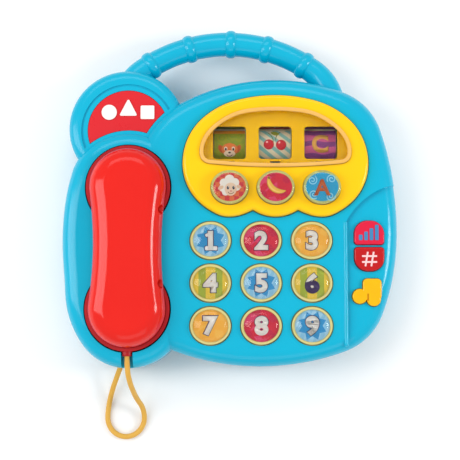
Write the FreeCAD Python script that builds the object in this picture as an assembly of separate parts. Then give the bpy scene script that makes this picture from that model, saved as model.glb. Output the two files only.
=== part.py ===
import FreeCAD, Part
import math
import os

V = FreeCAD.Vector

# Toy telephone lying on its back: +Z up, out of the face; +Y towards the carry handle; +X to the right.
# All sizes in millimetres. Origin: middle of the footprint, on the surface it lies on.

# ---- overall sizes ----
body_width = 220.0
body_length = 190.9
body_mid_y = -17.25
foot_height = 2.0
base_round = 5.0
parting_z = 22.0
field_z = 42.0
pad_drop = 3.0
pad_z = field_z - pad_drop
shoulder = 10.0
wall = 2.4
seam_gap = 0.15

# main lobe: points as shares of half width and half length, with the edge's heading in degrees
MAIN_EDGE = [
    (-0.295, 0.837, 28.4), (0.250, 1.000, 0.8), (0.687, 0.911, -21.0), (0.904, 0.650, -71.6),
    (1.000, -0.027, -89.3), (0.908, -0.631, -111.2), (0.689, -0.880, -159.8), (0.174, -0.985, -180.0),
    (-0.338, -0.877, -200.8), (-0.545, -0.448, -270.0), (-0.564, 0.338, -270.0), (-0.295, 0.837, -331.6),
]

# ---- cradle with its two wells ----
cradle_inset = 43.6
cradle_y = -34.6
well_pitch = 79.2
well_radius = 28.3
well_floor = 25.7
cradle_rim = 9.9
cradle_bulge = 5.4
cradle_x = -body_width / 2 + cradle_inset
lobe_radius = well_radius + cradle_rim
well_ys = (cradle_y + well_pitch / 2, cradle_y - well_pitch / 2)

# ---- round lobe with the badge ----
ear_radius = 38.6
ear_shift = (-1.6, 40.7)
ear_drop = 4.0
ear_z = field_z - ear_drop
ear_round = 7.0
badge_radius = 26.5
badge_shift = (-0.6, 38.4)
badge_depth = 2.0
badge_thickness = 1.8
badge_gap = 0.3
groove_width = 1.4
groove_depth = 0.8
groove_offset = 3.0
emblem_height = 0.8
emblem_size = 10.0
emblem_pitch = 12.6
emblem_rise = 13.5
emblem_drop = 1.5
emblem_round = 0.8
triangle_width = 12.0
triangle_height = 11.6
triangle_lift = 2.0
square_side = 9.0

# ---- handset ----
cup_gap = 0.9
cup_radius = well_radius - cup_gap
handset_end_radius = cup_radius - 2.4
handset_waist = handset_end_radius - 2.9
handset_clearance = 2.0
handset_under = field_z + handset_clearance
handset_height = 14.0
handset_crown = 12.0
handset_inner_crown = 9.0
handset_wall = 2.2
handset_lip = 1.2
cup_lift = 0.3
cup_round = 3.0
cup_wall = 2.2
cup_hole = 1.4
handset_screw_y = 24.0
screw_radius = 1.4
screw_head_radius = 2.8
screw_head = 1.6

# ---- tether cord ----
cord_diameter = 3.5
collar_radius = 3.4
collar_length = 3.0
collar_bite = 2.0
collar_edge = 1.0
knot_radius = 3.85
knot_length = 4.9
knot_round = 1.4
cord_hole_gap = 0.3
cord_hole_length = 24.0
cord_hole_back = 16.0
notch_width = 7.5
notch_depth = 7.6
# route from the collar's face, in millimetres from the mouth cup's foremost point at table height
CORD_ROUTE = [
    (0.0, -3.0, 39.0), (0.0, -11.5, 39.0), (1.3, -19.9, 32.2), (2.9, -25.7, 23.2), (4.6, -30.9, 13.8),
    (8.4, -37.2, 4.7), (9.4, -46.5, 1.75), (4.9, -54.1, 1.75), (-3.2, -57.1, 1.75), (-11.3, -54.3, 1.75),
    (-15.9, -46.9, 1.75), (-15.3, -37.3, 1.9), (-13.2, -27.5, 4.2), (-9.8, -18.1, 8.6), (-5.2, -6.5, 13.0),
]
cord_min_radius = 10.5

# ---- carry handle ----
handle_x = -1.6
handle_half_span = 69.5
handle_rise = 43.6
handle_side_radius = 32.0
handle_leg = 8.5
handle_top_radius = 8.0
handle_root_radius = 9.6
handle_root_drop = 16.6
handle_flange = 3.0
handle_flange_radius = 12.0
ring_proud = 1.3
ring_width = 9.0
ring_round = 4.2
ring_turns = (-31.5, -15.0, 1.2, 15.4, 31.5)
handle_y = body_mid_y + body_length / 2 - handle_root_drop
handle_z = parting_z

# ---- yellow display panel ----
panel_inset = 80.4
panel_gap = 0.6
panel_rise = 4.0
panel_round = 2.6
panel_wall = 2.2
panel_ledge = 3.6
panel_seat = 3.5
panel_notch_round = 1.5
# right halves of the panel's and the lens's outlines from the top down: x, y and the edge's heading in degrees
PANEL_EDGE = [
    (0.0, 65.8, 0.0), (47.5, 50.5, -42.0), (60.6, 20.6, -90.0), (46.5, -7.5, -143.0), (30.2, -14.4, -180.0),
    (14.6, -9.9, -208.0),
]
LENS_EDGE = [(0.0, 57.3, 0.0), (32.0, 51.2, -29.0), (49.4, 29.5, -83.0)]
lens_corner = (49.2, 20.6)
lens_low = 17.7
lens_corner_round = 7.0
lens_gap = 0.2
lens_rim = 1.5
lens_thickness = 1.6
lens_bead = 2.6
lens_bead_rise = 1.6
panel_x = body_width / 2 - panel_inset

# ---- picture windows, rollers and their buttons ----
picture_pitch = 29.9
window_y = 34.7
window_size = 21.6
window_corner = 2.3
window_plate = 2.0
slot_length = 6.6
slot_width = 1.2
slot_offset = 3.6
roller_radius = 14.5
roller_length = 21.4
roller_depth = 3.5
axle_radius = 1.5
running_gap = 0.05
pin_circle = 3.5
pin_radius = 0.9
pin_length = 2.2
pin_gap = 0.3
post_thickness = 2.0
post_half_width = 6.5
picture_y = 4.15
picture_button = (24.2, 21.8)
button_gap = 0.4
picture_rise = 4.0
picture_cap = 2.6
picture_flange = 1.2
picture_flange_thick = 2.0
flange_clearance = 0.3
pawl_width = 1.6
pawl_tip = 1.9
pawl_tip_height = 2.2
pawl_clearance = 0.2
pawl_height = 4.5
web_half_width = 3.0
web_height = 4.0
stem_radius = 4.2
spring_radius = 4.0
spring_bore = 3.0
spring_seat = 15.0
stem_low = 26.0

# ---- number keys ----
keypad_inset = 89.8
key_rows = (-29.9, -57.5, -85.1)
key_pitch = 32.8
key_size = (26.3, 24.4)
key_rise = 1.8
key_flange = 1.5
key_flange_thick = 1.8
key_travel = 1.6
key_recess = 0.9
key_ring = 1.7
key_gap = 0.7
key_edge = 0.7
key_post_gap = 0.2
key_dome_height = 4.4
key_dome_round = 3.2
key_post = 3.0
keypad_x = body_width / 2 - keypad_inset

# ---- side pad, its ridge and three buttons ----
ridge_inset = 35.0
ridge_radius = 1.5
ridge_ends = (-97.0, -18.5)
crease_end = 8.0
crease_bend = (10.0, 13.5)
pad_inset = 19.5
pad_button = (19.4, 32.9)
pad_button_mid = -33.2
pad_button_round = 8.6
pad_split = 1.7
pad_button_rise = 2.4
pad_button_edge = 1.0
flat_corner = 2.2
note_box = (12.2, 14.0)
note_mid = (0.0, -28.2)
note_box_shift = 1.6
note_corner = 3.0
note_heads = ((-6.4, -4.6, 4.9), (2.6, -6.4, 4.6))
note_slot = (-1.2, -5.2, 1.0, 4.6)
note_slot_depth = 1.2
pad_flange = 0.7
note_flange_reach = 0.5
pad_flange_thick = 1.5
under_gap = 0.2
flange_bite = 0.5
ridge_x = body_width / 2 - ridge_inset
pad_x = body_width / 2 - pad_inset

# ---- inside ----
board_z = 29.0
board_thickness = 1.6
membrane_thickness = 1.0
floor_top = foot_height + wall
board_reach = (-40.0, 50.0, 70.0)
board_ends = (-100.5, -70.0, -18.0)
board_boss_radius = 3.2
board_boss_gap = 1.0
membrane_inset = 3.0
BOARD_BOSSES = [(-36.0, -98.0), (46.0, -96.0), (-36.0, -24.0), (62.0, -24.0)]
battery_radius = 7.2
battery_length = 50.0
battery_spacing = 16.2
battery_y = -57.5
bay_wall = 1.8
bay_gap = 0.8
bay_height = 17.0
door_margin = 7.0
door_gap = 0.3
door_screw_offset = 3.4
door_boss_radius = 3.0
door_boss_height = 5.0
grip_grooves = 4
grip_pitch = 3.0
grip_width = 1.0
grip_depth = 0.5
grip_half_length = 10.0
contact_thickness = 0.6
contact_width = 9.0
speaker_radius = 19.0
speaker_height = 9.0
speaker_ring = 1.6
grille_hole = 1.5
grille_pitch = 6.0
switch_pos = (72.0, -80.0)
switch_slot = (12.0, 6.0)
switch_knob = (6.0, 5.4)
switch_drop = 1.2
switch_shift = 2.5
switch_plate = (14.0, 10.0, 1.4)
switch_corner = 1.0
foot_radius = 7.0
boss_radius = 3.6
boss_screw_gap = 0.1
CASE_SCREWS = [(-94.0, -34.6), (-38.0, -92.0), (-36.0, 52.0), (88.0, 40.0), (84.0, -70.0)]
FEET = [(-86.0, -78.0), (60.0, -92.0), (92.0, 20.0), (-80.0, 50.0)]

# overall reach along Y of everything but the cord sets the origin
reach_top = handle_y + handle_rise + handle_top_radius + ring_proud
reach_low = min(cradle_y - well_pitch / 2 - lobe_radius, body_mid_y - body_length / 2)
DATUM = V(0, -(reach_top + reach_low) / 2, 0)


# ---- outline helpers ----
def heading_vector(degrees):
    return V(math.cos(math.radians(degrees)), math.sin(math.radians(degrees)), 0)


def arc_edge(start, heading, end):
    """Arc (or line) that leaves start along heading and reaches end."""
    chord = end.sub(start)
    turn = math.atan2(heading.x * chord.y - heading.y * chord.x, heading.dot(chord))
    if abs(turn) < 1e-4:
        return Part.LineSegment(start, end).toShape()
    side = V(chord.y, -chord.x, 0)
    middle = (start + end) * 0.5 + side * (0.5 * math.tan(turn / 2))
    return Part.Arc(start, middle, end).toShape()


def biarc(start, heading_a, end, heading_b):
    """Two arcs that meet tangentially between two points with given headings."""
    across = end.sub(start)
    both = heading_a + heading_b
    spread = 2 * (1 - heading_a.dot(heading_b))
    lean = across.dot(both)
    if spread < 1e-6:
        reach = across.dot(across) / (2 * lean)
    else:
        reach = (-lean + math.sqrt(lean * lean + spread * across.dot(across))) / spread
    joint = (start + end + (heading_a - heading_b) * reach) * 0.5
    first = arc_edge(start, heading_a, joint)
    tangent = (joint - (start + heading_a * reach)).normalize()
    return [first, arc_edge(joint, tangent, end)]


def flowing_edges(points):
    """Smooth edges through (x, y, heading) points."""
    edges = []
    for (x0, y0, h0), (x1, y1, h1) in zip(points, points[1:]):
        edges += biarc(V(x0, y0, 0), heading_vector(h0), V(x1, y1, 0), heading_vector(h1))
    return edges


def mirrored(points):
    """Right half of a symmetric outline, from its top down, followed by its left half back to the top."""
    left = [(-x, y, -h) for x, y, h in reversed(points)]
    return points, left


def raised(wire, low, high):
    face = Part.Face(wire)
    solid = face.extrude(V(0, 0, high - low))
    solid.translate(V(0, 0, low))
    return solid


def moved_wire(wire, x, y):
    copy = wire.copy()
    copy.translate(V(x, y, 0))
    return copy


def grown(wire, distance):
    return wire.makeOffset2D(distance) if distance else wire


def edges_at(solid, z):
    return [e for e in solid.Edges if all(abs(v.Z - z) < 1e-5 for v in e.Vertexes)
            and abs(e.BoundBox.ZMax - e.BoundBox.ZMin) < 1e-5]


def upright_edges(solid):
    return [e for e in solid.Edges if abs(e.BoundBox.XLength) < 1e-5 and abs(e.BoundBox.YLength) < 1e-5]


def rounded(solid, z, radius):
    return solid.makeFillet(radius, edges_at(solid, z))


def block(x0, x1, y0, y1, z0, z1):
    return Part.makeBox(x1 - x0, y1 - y0, z1 - z0, V(x0, y0, z0))


def soft_block(width, length, corner, z0, z1, x=0.0, y=0.0):
    box = block(x - width / 2, x + width / 2, y - length / 2, y + length / 2, z0, z1)
    return box.makeFillet(corner, upright_edges(box))


def post(radius, z0, z1, x, y):
    return Part.makeCylinder(radius, z1 - z0, V(x, y, z0))


def softened(wire, spots, radius):
    """The same outline with its corners at the given spots rounded in plan."""
    form = raised(wire, 0, 1)
    corners = [e for e in upright_edges(form)
               if any(math.hypot(e.Vertexes[0].X - x, e.Vertexes[0].Y - y) < 1e-3 for x, y in spots)]
    form = form.makeFillet(radius, corners)
    base = [f for f in form.Faces if abs(f.BoundBox.ZMax) < 1e-6][0]
    return base.OuterWire


def oval_wire(width, length, x, y):
    if width >= length:
        curve = Part.Ellipse(V(x, y, 0), width / 2, length / 2)
        return Part.Wire(curve.toShape())
    curve = Part.Ellipse(V(x, y + length / 2, 0), V(x + width / 2, y, 0), V(x, y, 0))
    return Part.Wire(curve.toShape())


def oval(width, length, z0, z1, x, y):
    return raised(oval_wire(width, length, x, y), z0, z1)


def fuse_all(solids):
    return solids[0].multiFuse(solids[1:]).removeSplitter() if len(solids) > 1 else solids[0]


# ---- outlines of the body's lobes ----
def main_outline():
    half_w, half_l = body_width / 2, body_length / 2
    return Part.Wire(flowing_edges([(x * half_w, body_mid_y + y * half_l, h) for x, y, h in MAIN_EDGE]))


def cradle_outline():
    r, half = lobe_radius, well_pitch / 2
    points = [
        (0, -half - r, 180), (-r - 0.6 * cradle_bulge, -half + 0.28 * r, 93), (-r - cradle_bulge, 0.18 * half, 90),
        (-r + 0.2, half + 0.28 * r, 74), (0, half + r, 0), (r, half, -90), (r, -half, -90), (0, -half - r, -180),
    ]
    return moved_wire(Part.Wire(flowing_edges(points)), cradle_x, cradle_y)


def ear_centre():
    return cradle_x + ear_shift[0], well_ys[0] + ear_shift[1]


def badge_centre():
    return cradle_x + badge_shift[0], well_ys[0] + badge_shift[1]


def panel_outline(notch_round=0.0):
    right, left = mirrored(PANEL_EDGE)
    notch = V(*PANEL_EDGE[-1][:2], 0)
    middle = V(0, PANEL_EDGE[-2][1], 0)
    lobe = Part.Arc(notch, middle, V(-notch.x, notch.y, 0)).toShape()
    wire = Part.Wire(flowing_edges(right) + [lobe] + flowing_edges(left))
    if notch_round:
        wire = softened(wire, [(notch.x, notch.y), (-notch.x, notch.y)], notch_round)
    return moved_wire(wire, panel_x, 0)


def lens_outline():
    right, left = mirrored(LENS_EDGE)
    corner = V(*lens_corner, 0)
    far = V(-corner.x, corner.y, 0)
    edges = flowing_edges(right)
    edges.append(Part.LineSegment(V(*right[-1][:2], 0), corner).toShape())
    edges.append(Part.Arc(corner, V(0, lens_low, 0), far).toShape())
    edges.append(Part.LineSegment(far, V(*left[0][:2], 0)).toShape())
    edges += flowing_edges(left)
    spots = [(corner.x, corner.y), (far.x, far.y)]
    return moved_wire(softened(Part.Wire(edges), spots, lens_corner_round), panel_x, 0)


def handset_outline():
    """Two round ends joined by a long hollow curve at the waist."""
    r, half = handset_end_radius, well_pitch / 2
    hollow = (handset_waist ** 2 + half ** 2 - r ** 2) / (2 * (r - handset_waist))
    far = handset_waist + hollow
    touch_x = far * r / (r + hollow)
    touch_y = half - half * r / (r + hollow)
    top_left, top_right = V(-touch_x, touch_y, 0), V(touch_x, touch_y, 0)
    low_right, low_left = V(touch_x, -touch_y, 0), V(-touch_x, -touch_y, 0)
    arcs = [
        Part.Arc(top_left, V(0, half + r, 0), top_right), Part.Arc(top_right, V(handset_waist, 0, 0), low_right),
        Part.Arc(low_right, V(0, -half - r, 0), low_left), Part.Arc(low_left, V(-handset_waist, 0, 0), top_left),
    ]
    return moved_wire(Part.Wire([arc.toShape() for arc in arcs]), cradle_x, cradle_y)


# ---- housing ----
def upper_lobes(inset):
    """Outer form of the upper housing, or its hollow when inset by the wall."""
    round_top = shoulder - inset if inset else shoulder
    main = rounded(raised(grown(main_outline(), -inset), parting_z, field_z - inset), field_z - inset, round_top)
    low_main = rounded(raised(grown(main_outline(), -inset), parting_z, pad_z - inset), pad_z - inset, round_top)
    cradle = rounded(raised(grown(cradle_outline(), -inset), parting_z, field_z - inset), field_z - inset, round_top)
    ear_x, ear_y = ear_centre()
    ear = rounded(post(ear_radius - inset, parting_z, ear_z - inset, ear_x, ear_y), ear_z - inset, ear_round - inset)
    pad = pad_region(inset)
    main = main.cut(pad).fuse(low_main.common(pad))
    return fuse_all([main, cradle, ear])


def pad_region(inset):
    """Everything right of the ridge and below the crease that curves up to the body's edge."""
    left, top = ridge_x - inset, ridge_ends[1] + inset
    outer = body_width / 2 + shoulder
    corner = V(left, top, 0)
    bend = V(left + crease_bend[0], top + crease_bend[1], 0)
    reach = V(outer, crease_end + inset, 0)
    low = body_mid_y - body_length / 2 - shoulder
    edges = [Part.LineSegment(V(left, low, 0), corner).toShape(), Part.Arc(corner, bend, reach).toShape(),
             Part.LineSegment(reach, V(outer, low, 0)).toShape(),
             Part.LineSegment(V(outer, low, 0), V(left, low, 0)).toShape()]
    return raised(Part.Wire(edges), 0, field_z + shoulder)


def well_cut(grow):
    """Both handset wells, grown by the wall for the hollow underneath them."""
    top = field_z + shoulder
    return fuse_all([post(well_radius + grow, well_floor - grow, top, cradle_x, y) for y in well_ys])


def key_centres():
    return [(keypad_x + (col - 1) * key_pitch, y) for y in key_rows for col in range(3)]


def picture_centres():
    return [panel_x + (col - 1) * picture_pitch for col in range(3)]


def key_holes(grow, high):
    width, length = key_size
    return [oval(width + 2 * grow, length + 2 * grow, parting_z, high, x, y) for x, y in key_centres()]


def pad_button_form(grow, z0, z1):
    width, length = pad_button
    return soft_block(width + 2 * grow, length + 2 * grow, pad_button_round + grow, z0, z1, pad_x, pad_button_mid)


def half_pad_button(upper, grow, z0, z1):
    """D-shaped half of the rounded button pair."""
    form = pad_button_form(grow, z0, z1)
    split = pad_button_mid + (pad_split / 2 - grow) * (1 if upper else -1)
    far = split + (1 if upper else -1) * pad_button[1]
    keep = block(pad_x - pad_button[0], pad_x + pad_button[0], min(split, far), max(split, far), z0, z1)
    half = form.common(keep)
    sharp = [e for e in upright_edges(half) if abs(e.Vertexes[0].Y - split) < 1e-4]
    return half.makeFillet(flat_corner + max(grow, 0), sharp)


def note_form(grow, z0, z1):
    x, y = pad_x + note_mid[0], pad_button_mid + note_mid[1]
    width, length = note_box
    body = soft_block(width + 2 * grow, length + 2 * grow, note_corner + grow, z0, z1, x + note_box_shift, y)
    heads = [post(r + grow, z0, z1, x + dx, y + dy) for dx, dy, r in note_heads]
    return fuse_all([body] + heads)


def note_flange(grow, z0, z1):
    """The note button's flange, left off where the body's shoulder curves down."""
    form = note_form(grow, z0, z1)
    reach = pad_x + note_flange_reach + max(grow - pad_flange, 0)
    return form.common(block(ridge_x, reach, form.BoundBox.YMin - 1, form.BoundBox.YMax + 1, z0, z1))


def upper_openings():
    low, high = parting_z, field_z + shoulder
    cuts = key_holes(key_gap, high) + key_holes(key_flange + button_gap, field_z - wall)
    for side in (True, False):
        cuts.append(half_pad_button(side, button_gap, low, high))
        cuts.append(half_pad_button(side, pad_flange + button_gap, low, pad_z - wall))
    cuts.append(note_form(button_gap, low, high))
    cuts.append(note_flange(pad_flange + button_gap, low, pad_z - wall))
    seat = field_z - panel_seat
    cuts.append(raised(grown(panel_outline(), panel_gap), seat, high))
    cuts.append(raised(grown(panel_outline(), -panel_ledge), low, high))
    return cuts


def badge_disc(radius, low, high):
    x, y = badge_centre()
    return post(radius, low, high, x, y)


def behind_badge(low, high):
    """The body in front of the badge, which hides the disc's lower part."""
    return raised(cradle_outline(), low, high).fuse(raised(main_outline(), low, high))


def cord_notch():
    bottom = field_z - notch_depth
    y_far = cradle_y - well_pitch / 2 - lobe_radius - shoulder
    y_near = well_ys[1]
    slot = block(cradle_x - notch_width / 2, cradle_x + notch_width / 2, y_far, y_near, bottom, field_z + shoulder)
    return slot


def make_upper_housing():
    outer = upper_lobes(0.0)
    hollow = upper_lobes(wall).cut(well_cut(wall))
    seat_top = field_z - panel_seat
    ledge = raised(grown(panel_outline(), panel_gap + wall), seat_top - wall, field_z - wall / 2)
    hollow = hollow.cut(ledge)
    x, y = badge_centre()
    badge_back = badge_disc(badge_radius + wall, ear_z - badge_depth - wall, ear_z).cut(
        behind_badge(0, field_z + shoulder))
    hollow = hollow.cut(badge_back)
    notch_back = block(cradle_x - notch_width / 2 - wall, cradle_x + notch_width / 2 + wall,
                       well_ys[1] - lobe_radius - shoulder, well_ys[1], field_z - notch_depth - wall, field_z)
    hollow = hollow.cut(notch_back)
    shell = outer.cut(hollow)
    bosses = [post(boss_radius, parting_z, field_z - wall / 2, bx, by) for bx, by in CASE_SCREWS]
    shell = fuse_all([shell] + [b.common(outer) for b in bosses])
    groove = badge_disc(badge_radius + groove_offset + groove_width, ear_z - groove_depth, ear_z + shoulder).cut(
        badge_disc(badge_radius + groove_offset, 0, ear_z + shoulder))
    recess = badge_disc(badge_radius + badge_gap, ear_z - badge_depth, field_z + shoulder)
    front = behind_badge(0, field_z + shoulder)
    cuts = [well_cut(0.0), cord_notch(), groove.cut(front), recess.cut(front)] + upper_openings()
    cuts += [post(screw_radius, parting_z, parting_z + 9.0, bx, by) for bx, by in CASE_SCREWS]
    for cut in cuts:
        shell = shell.cut(cut)
    shell = shell.cut(handle_solid(seam_gap))
    ridge = Part.makeCylinder(ridge_radius, ridge_ends[1] - ridge_ends[0], V(ridge_x, ridge_ends[0], field_z - 1.0),
                              V(0, 1, 0))
    tips = [Part.makeSphere(ridge_radius, V(ridge_x, y, field_z - 1.0)) for y in ridge_ends]
    lower_side = block(ridge_x - 9, ridge_x + 9, ridge_ends[0] - 9, ridge_ends[1] + 9, field_z - wall, field_z + 9)
    bead = fuse_all([ridge] + tips).common(lower_side)
    return fuse_all([shell, bead])


def battery_block(grow, z0, z1):
    width = battery_length + 2 * (bay_gap + 2.2) + 2 * grow
    length = battery_spacing + 2 * battery_radius + 2 * bay_gap + 2 * grow
    return block(keypad_x - width / 2, keypad_x + width / 2, battery_y - length / 2, battery_y + length / 2, z0, z1)


def door_form(grow, z0, z1):
    return battery_block(door_margin + grow, z0, z1)


def grille_spots(radius):
    """Hexagonal pattern of holes inside a circle."""
    spots = []
    rows = int(radius / (grille_pitch * math.sqrt(3) / 2))
    for row in range(-rows, rows + 1):
        y = row * grille_pitch * math.sqrt(3) / 2
        shift = grille_pitch / 2 if row % 2 else 0.0
        for col in range(-rows - 1, rows + 2):
            x = col * grille_pitch + shift
            if math.hypot(x, y) < radius:
                spots.append((x, y))
    return spots


def lower_lobes(inset):
    low = foot_height + inset
    high = parting_z
    corner = base_round - inset / 2
    main = rounded(raised(grown(main_outline(), -inset), low, high), low, corner)
    cradle = rounded(raised(grown(cradle_outline(), -inset), low, high), low, corner)
    ear = rounded(post(ear_radius - inset, low, high, *ear_centre()), low, corner)
    return fuse_all([main, cradle, ear])


def make_lower_housing():
    outer = lower_lobes(0.0)
    shell = outer.cut(lower_lobes(wall))
    bay_top = floor_top + bay_height
    bay = battery_block(bay_wall, floor_top - 0.5, bay_top).cut(battery_block(0, 0, bay_top - bay_wall))
    boss_x = keypad_x + battery_block(door_margin, 0, 1).BoundBox.XLength / 2 - door_screw_offset
    parts = [shell, bay]
    parts.append(post(door_boss_radius, foot_height, floor_top + door_boss_height, boss_x, battery_y))
    parts += [post(boss_radius, foot_height, parting_z, x, y) for x, y in CASE_SCREWS]
    parts += [post(board_boss_radius, floor_top - 0.5, board_z, x, y) for x, y in board_bosses()]
    parts += [post(spring_radius + 1.5, floor_top - 0.5, spring_seat, x, picture_y) for x in picture_centres()]
    parts += [post(foot_radius, 0, floor_top, x, y) for x, y in FEET]
    parts.append(post(speaker_radius + speaker_ring, floor_top - 0.5, floor_top + 3.0, cradle_x, cradle_y).cut(
        post(speaker_radius + 0.2, 0, parting_z, cradle_x, cradle_y)))
    shell = fuse_all(parts)
    cuts = [post(screw_radius + boss_screw_gap, 0, parting_z, x, y) for x, y in CASE_SCREWS]
    cuts += [post(screw_head_radius + 0.4, 0, foot_height + 8.0, x, y) for x, y in CASE_SCREWS]
    cuts += [post(grille_hole, 0, floor_top + 1, cradle_x + x, cradle_y + y)
             for x, y in grille_spots(speaker_radius - 3)]
    cuts.append(door_form(door_gap, 0, foot_height + wall / 2))
    cuts.append(battery_block(0, 0, foot_height + wall + 1))
    cuts.append(post(screw_radius + 0.2, 0, floor_top + 3.6, boss_x, battery_y))
    sx, sy = switch_pos
    cuts.append(block(sx - switch_slot[0] / 2, sx + switch_slot[0] / 2, sy - switch_slot[1] / 2,
                      sy + switch_slot[1] / 2, 0, floor_top + 1))
    before, last = cord_points()[-2:]
    direction = last.sub(before).normalize()
    cuts.append(Part.makeCylinder(cord_diameter / 2 + cord_hole_gap, cord_hole_length,
                                  last - direction * cord_hole_back, direction))
    for cut in cuts:
        shell = shell.cut(cut)
    return shell.cut(handle_solid(seam_gap))


def board_bosses():
    return [(keypad_x + reach, y) for reach, y in BOARD_BOSSES]


# ---- carry handle ----
def handle_centres():
    a, b, r = handle_half_span, handle_rise, handle_side_radius
    top = (a * a + b * b - 2 * a * r) / (2 * (b - r))
    return top, V(handle_x, handle_y + b - top, handle_z), V(handle_x + a - r, handle_y, handle_z)


def circle_at(point, direction, radius):
    return Part.Wire(Part.Circle(point, direction, radius).toShape())


def handle_solid(grow):
    """Arched bar: a shallow top arc, two tighter side arcs that widen towards the roots, straight legs."""
    top, top_centre, side_centre = handle_centres()
    reach = side_centre - top_centre
    lean = math.atan2(reach.x, reach.y)
    start = top_centre + V(-math.sin(lean), math.cos(lean), 0) * top
    end = top_centre + V(math.sin(lean), math.cos(lean), 0) * top
    crown = top_centre + V(0, top, 0)
    across = V(math.cos(lean), math.sin(lean), 0)
    bars = []
    spine = Part.Wire(Part.Arc(start, crown, end).toShape())
    bars.append(Part.Wire(spine).makePipeShell([circle_at(start, across, handle_top_radius + grow)], True, True))
    for side in (1, -1):
        shoulder_point = V(handle_x + side * (end.x - handle_x), end.y, handle_z)
        centre = V(handle_x + side * (side_centre.x - handle_x), handle_y, handle_z)
        root = V(handle_x + side * handle_half_span, handle_y, handle_z)
        half = math.radians(90) - (math.radians(90) - lean) / 2
        middle = centre + V(side * math.sin(half), math.cos(half), 0) * handle_side_radius
        arc = Part.Wire(Part.Arc(shoulder_point, middle, root).toShape())
        ends = [circle_at(shoulder_point, V(side * math.cos(lean), -math.sin(lean), 0), handle_top_radius + grow),
                circle_at(root, V(0, -1, 0), handle_root_radius + grow)]
        bars.append(arc.makePipeShell(ends, True, True))
        bars.append(Part.makeCylinder(handle_root_radius + grow, handle_leg, root, V(0, -1, 0)))
        flange_y = handle_y - handle_leg + grow
        bars.append(Part.makeCylinder(handle_flange_radius + grow, handle_flange + 2 * grow,
                                      V(root.x, flange_y, handle_z), V(0, -1, 0)))
    for turn in ring_turns:
        angle = math.radians(turn)
        spot = top_centre + V(math.sin(angle), math.cos(angle), 0) * top
        along = V(math.cos(angle), -math.sin(angle), 0)
        ring = Part.makeCylinder(handle_top_radius + ring_proud + grow, ring_width,
                                 spot - along * (ring_width / 2), along)
        rims = [e for e in ring.Edges if isinstance(e.Curve, Part.Circle)]
        bars.append(ring.makeFillet(ring_round, rims))
    return fuse_all(bars)


def handle_half(front):
    whole = handle_solid(0.0)
    reach = 2 * body_width
    low = handle_z if front else handle_z - reach
    keep = Part.makeBox(2 * reach, 2 * reach, reach, V(-reach, -reach, low))
    return whole.common(keep)


# ---- handset ----
def handset_form(inset):
    low, high = handset_under + inset, handset_under + handset_height - inset
    form = raised(grown(handset_outline(), -inset), low, high)
    form = rounded(form, high, handset_inner_crown if inset else handset_crown)
    return rounded(form, low, handset_lip) if not inset else form


def handset_half(left):
    shell = handset_form(0.0).cut(handset_form(handset_wall))
    low, high = handset_under, handset_under + handset_height
    for side in (1, -1):
        y = cradle_y + side * handset_screw_y
        z = low + handset_height / 2
        boss = Part.makeCylinder(screw_head_radius + 0.9, 2 * handset_waist, V(cradle_x - handset_waist, y, z),
                                 V(1, 0, 0)).common(handset_form(0.0))
        shell = shell.fuse(boss)
    for side in (1, -1):
        y = cradle_y + side * handset_screw_y
        z = low + handset_height / 2
        shell = shell.cut(Part.makeCylinder(screw_radius, handset_waist, V(cradle_x - handset_waist / 2, y, z),
                                            V(1, 0, 0)))
        shell = shell.cut(Part.makeCylinder(screw_head_radius + 0.2, handset_waist,
                                            V(cradle_x + handset_waist / 2, y, z), V(1, 0, 0)))
    reach = body_width
    keep = block(cradle_x - reach, cradle_x, -reach, reach, low - 1, high + 1) if left else block(
        cradle_x, cradle_x + reach, -reach, reach, low - 1, high + 1)
    return shell.common(keep)


def make_handset_screws():
    screws = []
    for side in (1, -1):
        y = cradle_y + side * handset_screw_y
        z = handset_under + handset_height / 2
        shank = Part.makeCylinder(screw_radius, handset_waist, V(cradle_x - handset_waist / 2, y, z), V(1, 0, 0))
        head = Part.makeCylinder(screw_head_radius, screw_head, V(cradle_x + handset_waist / 2, y, z), V(1, 0, 0))
        screws.append(fuse_all([shank, head]))
    return Part.makeCompound(screws)


def make_cup(which):
    """Round cap under one end of the handset, pierced like an ear or mouth piece."""
    y = well_ys[which]
    low = well_floor + cup_lift
    cup = rounded(post(cup_radius, low, handset_under, cradle_x, y), low, cup_round)
    cup = cup.cut(post(cup_radius - cup_wall, low + cup_wall, handset_under, cradle_x, y))
    holes = [post(cup_hole, low - 1, low + 2 * cup_wall, cradle_x + 8.0 * math.cos(a), y + 8.0 * math.sin(a))
             for a in (math.radians(60 * i) for i in range(6))]
    return cup.cut(Part.makeCompound(holes))


def make_cord_collar():
    """Collar on the mouth cup's front that grips the cord."""
    y = well_ys[1] - cup_radius
    start = V(cradle_x, y + collar_bite, CORD_ROUTE[0][2])
    outer = Part.makeCylinder(collar_radius, collar_length + collar_bite, start, V(0, -1, 0))
    face = y - collar_length
    rims = [e for e in outer.Edges if e.BoundBox.YLength < 1e-4 and abs(e.BoundBox.YMax - face) < 1e-4]
    return outer.makeFillet(collar_edge, rims).cut(post(cup_radius, 0, field_z + shoulder, cradle_x, well_ys[1]))


# ---- cord ----
def cord_points():
    x, y = cradle_x, well_ys[1] - cup_radius
    return [V(x + px, y + py, pz) for px, py, pz in CORD_ROUTE]


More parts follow.
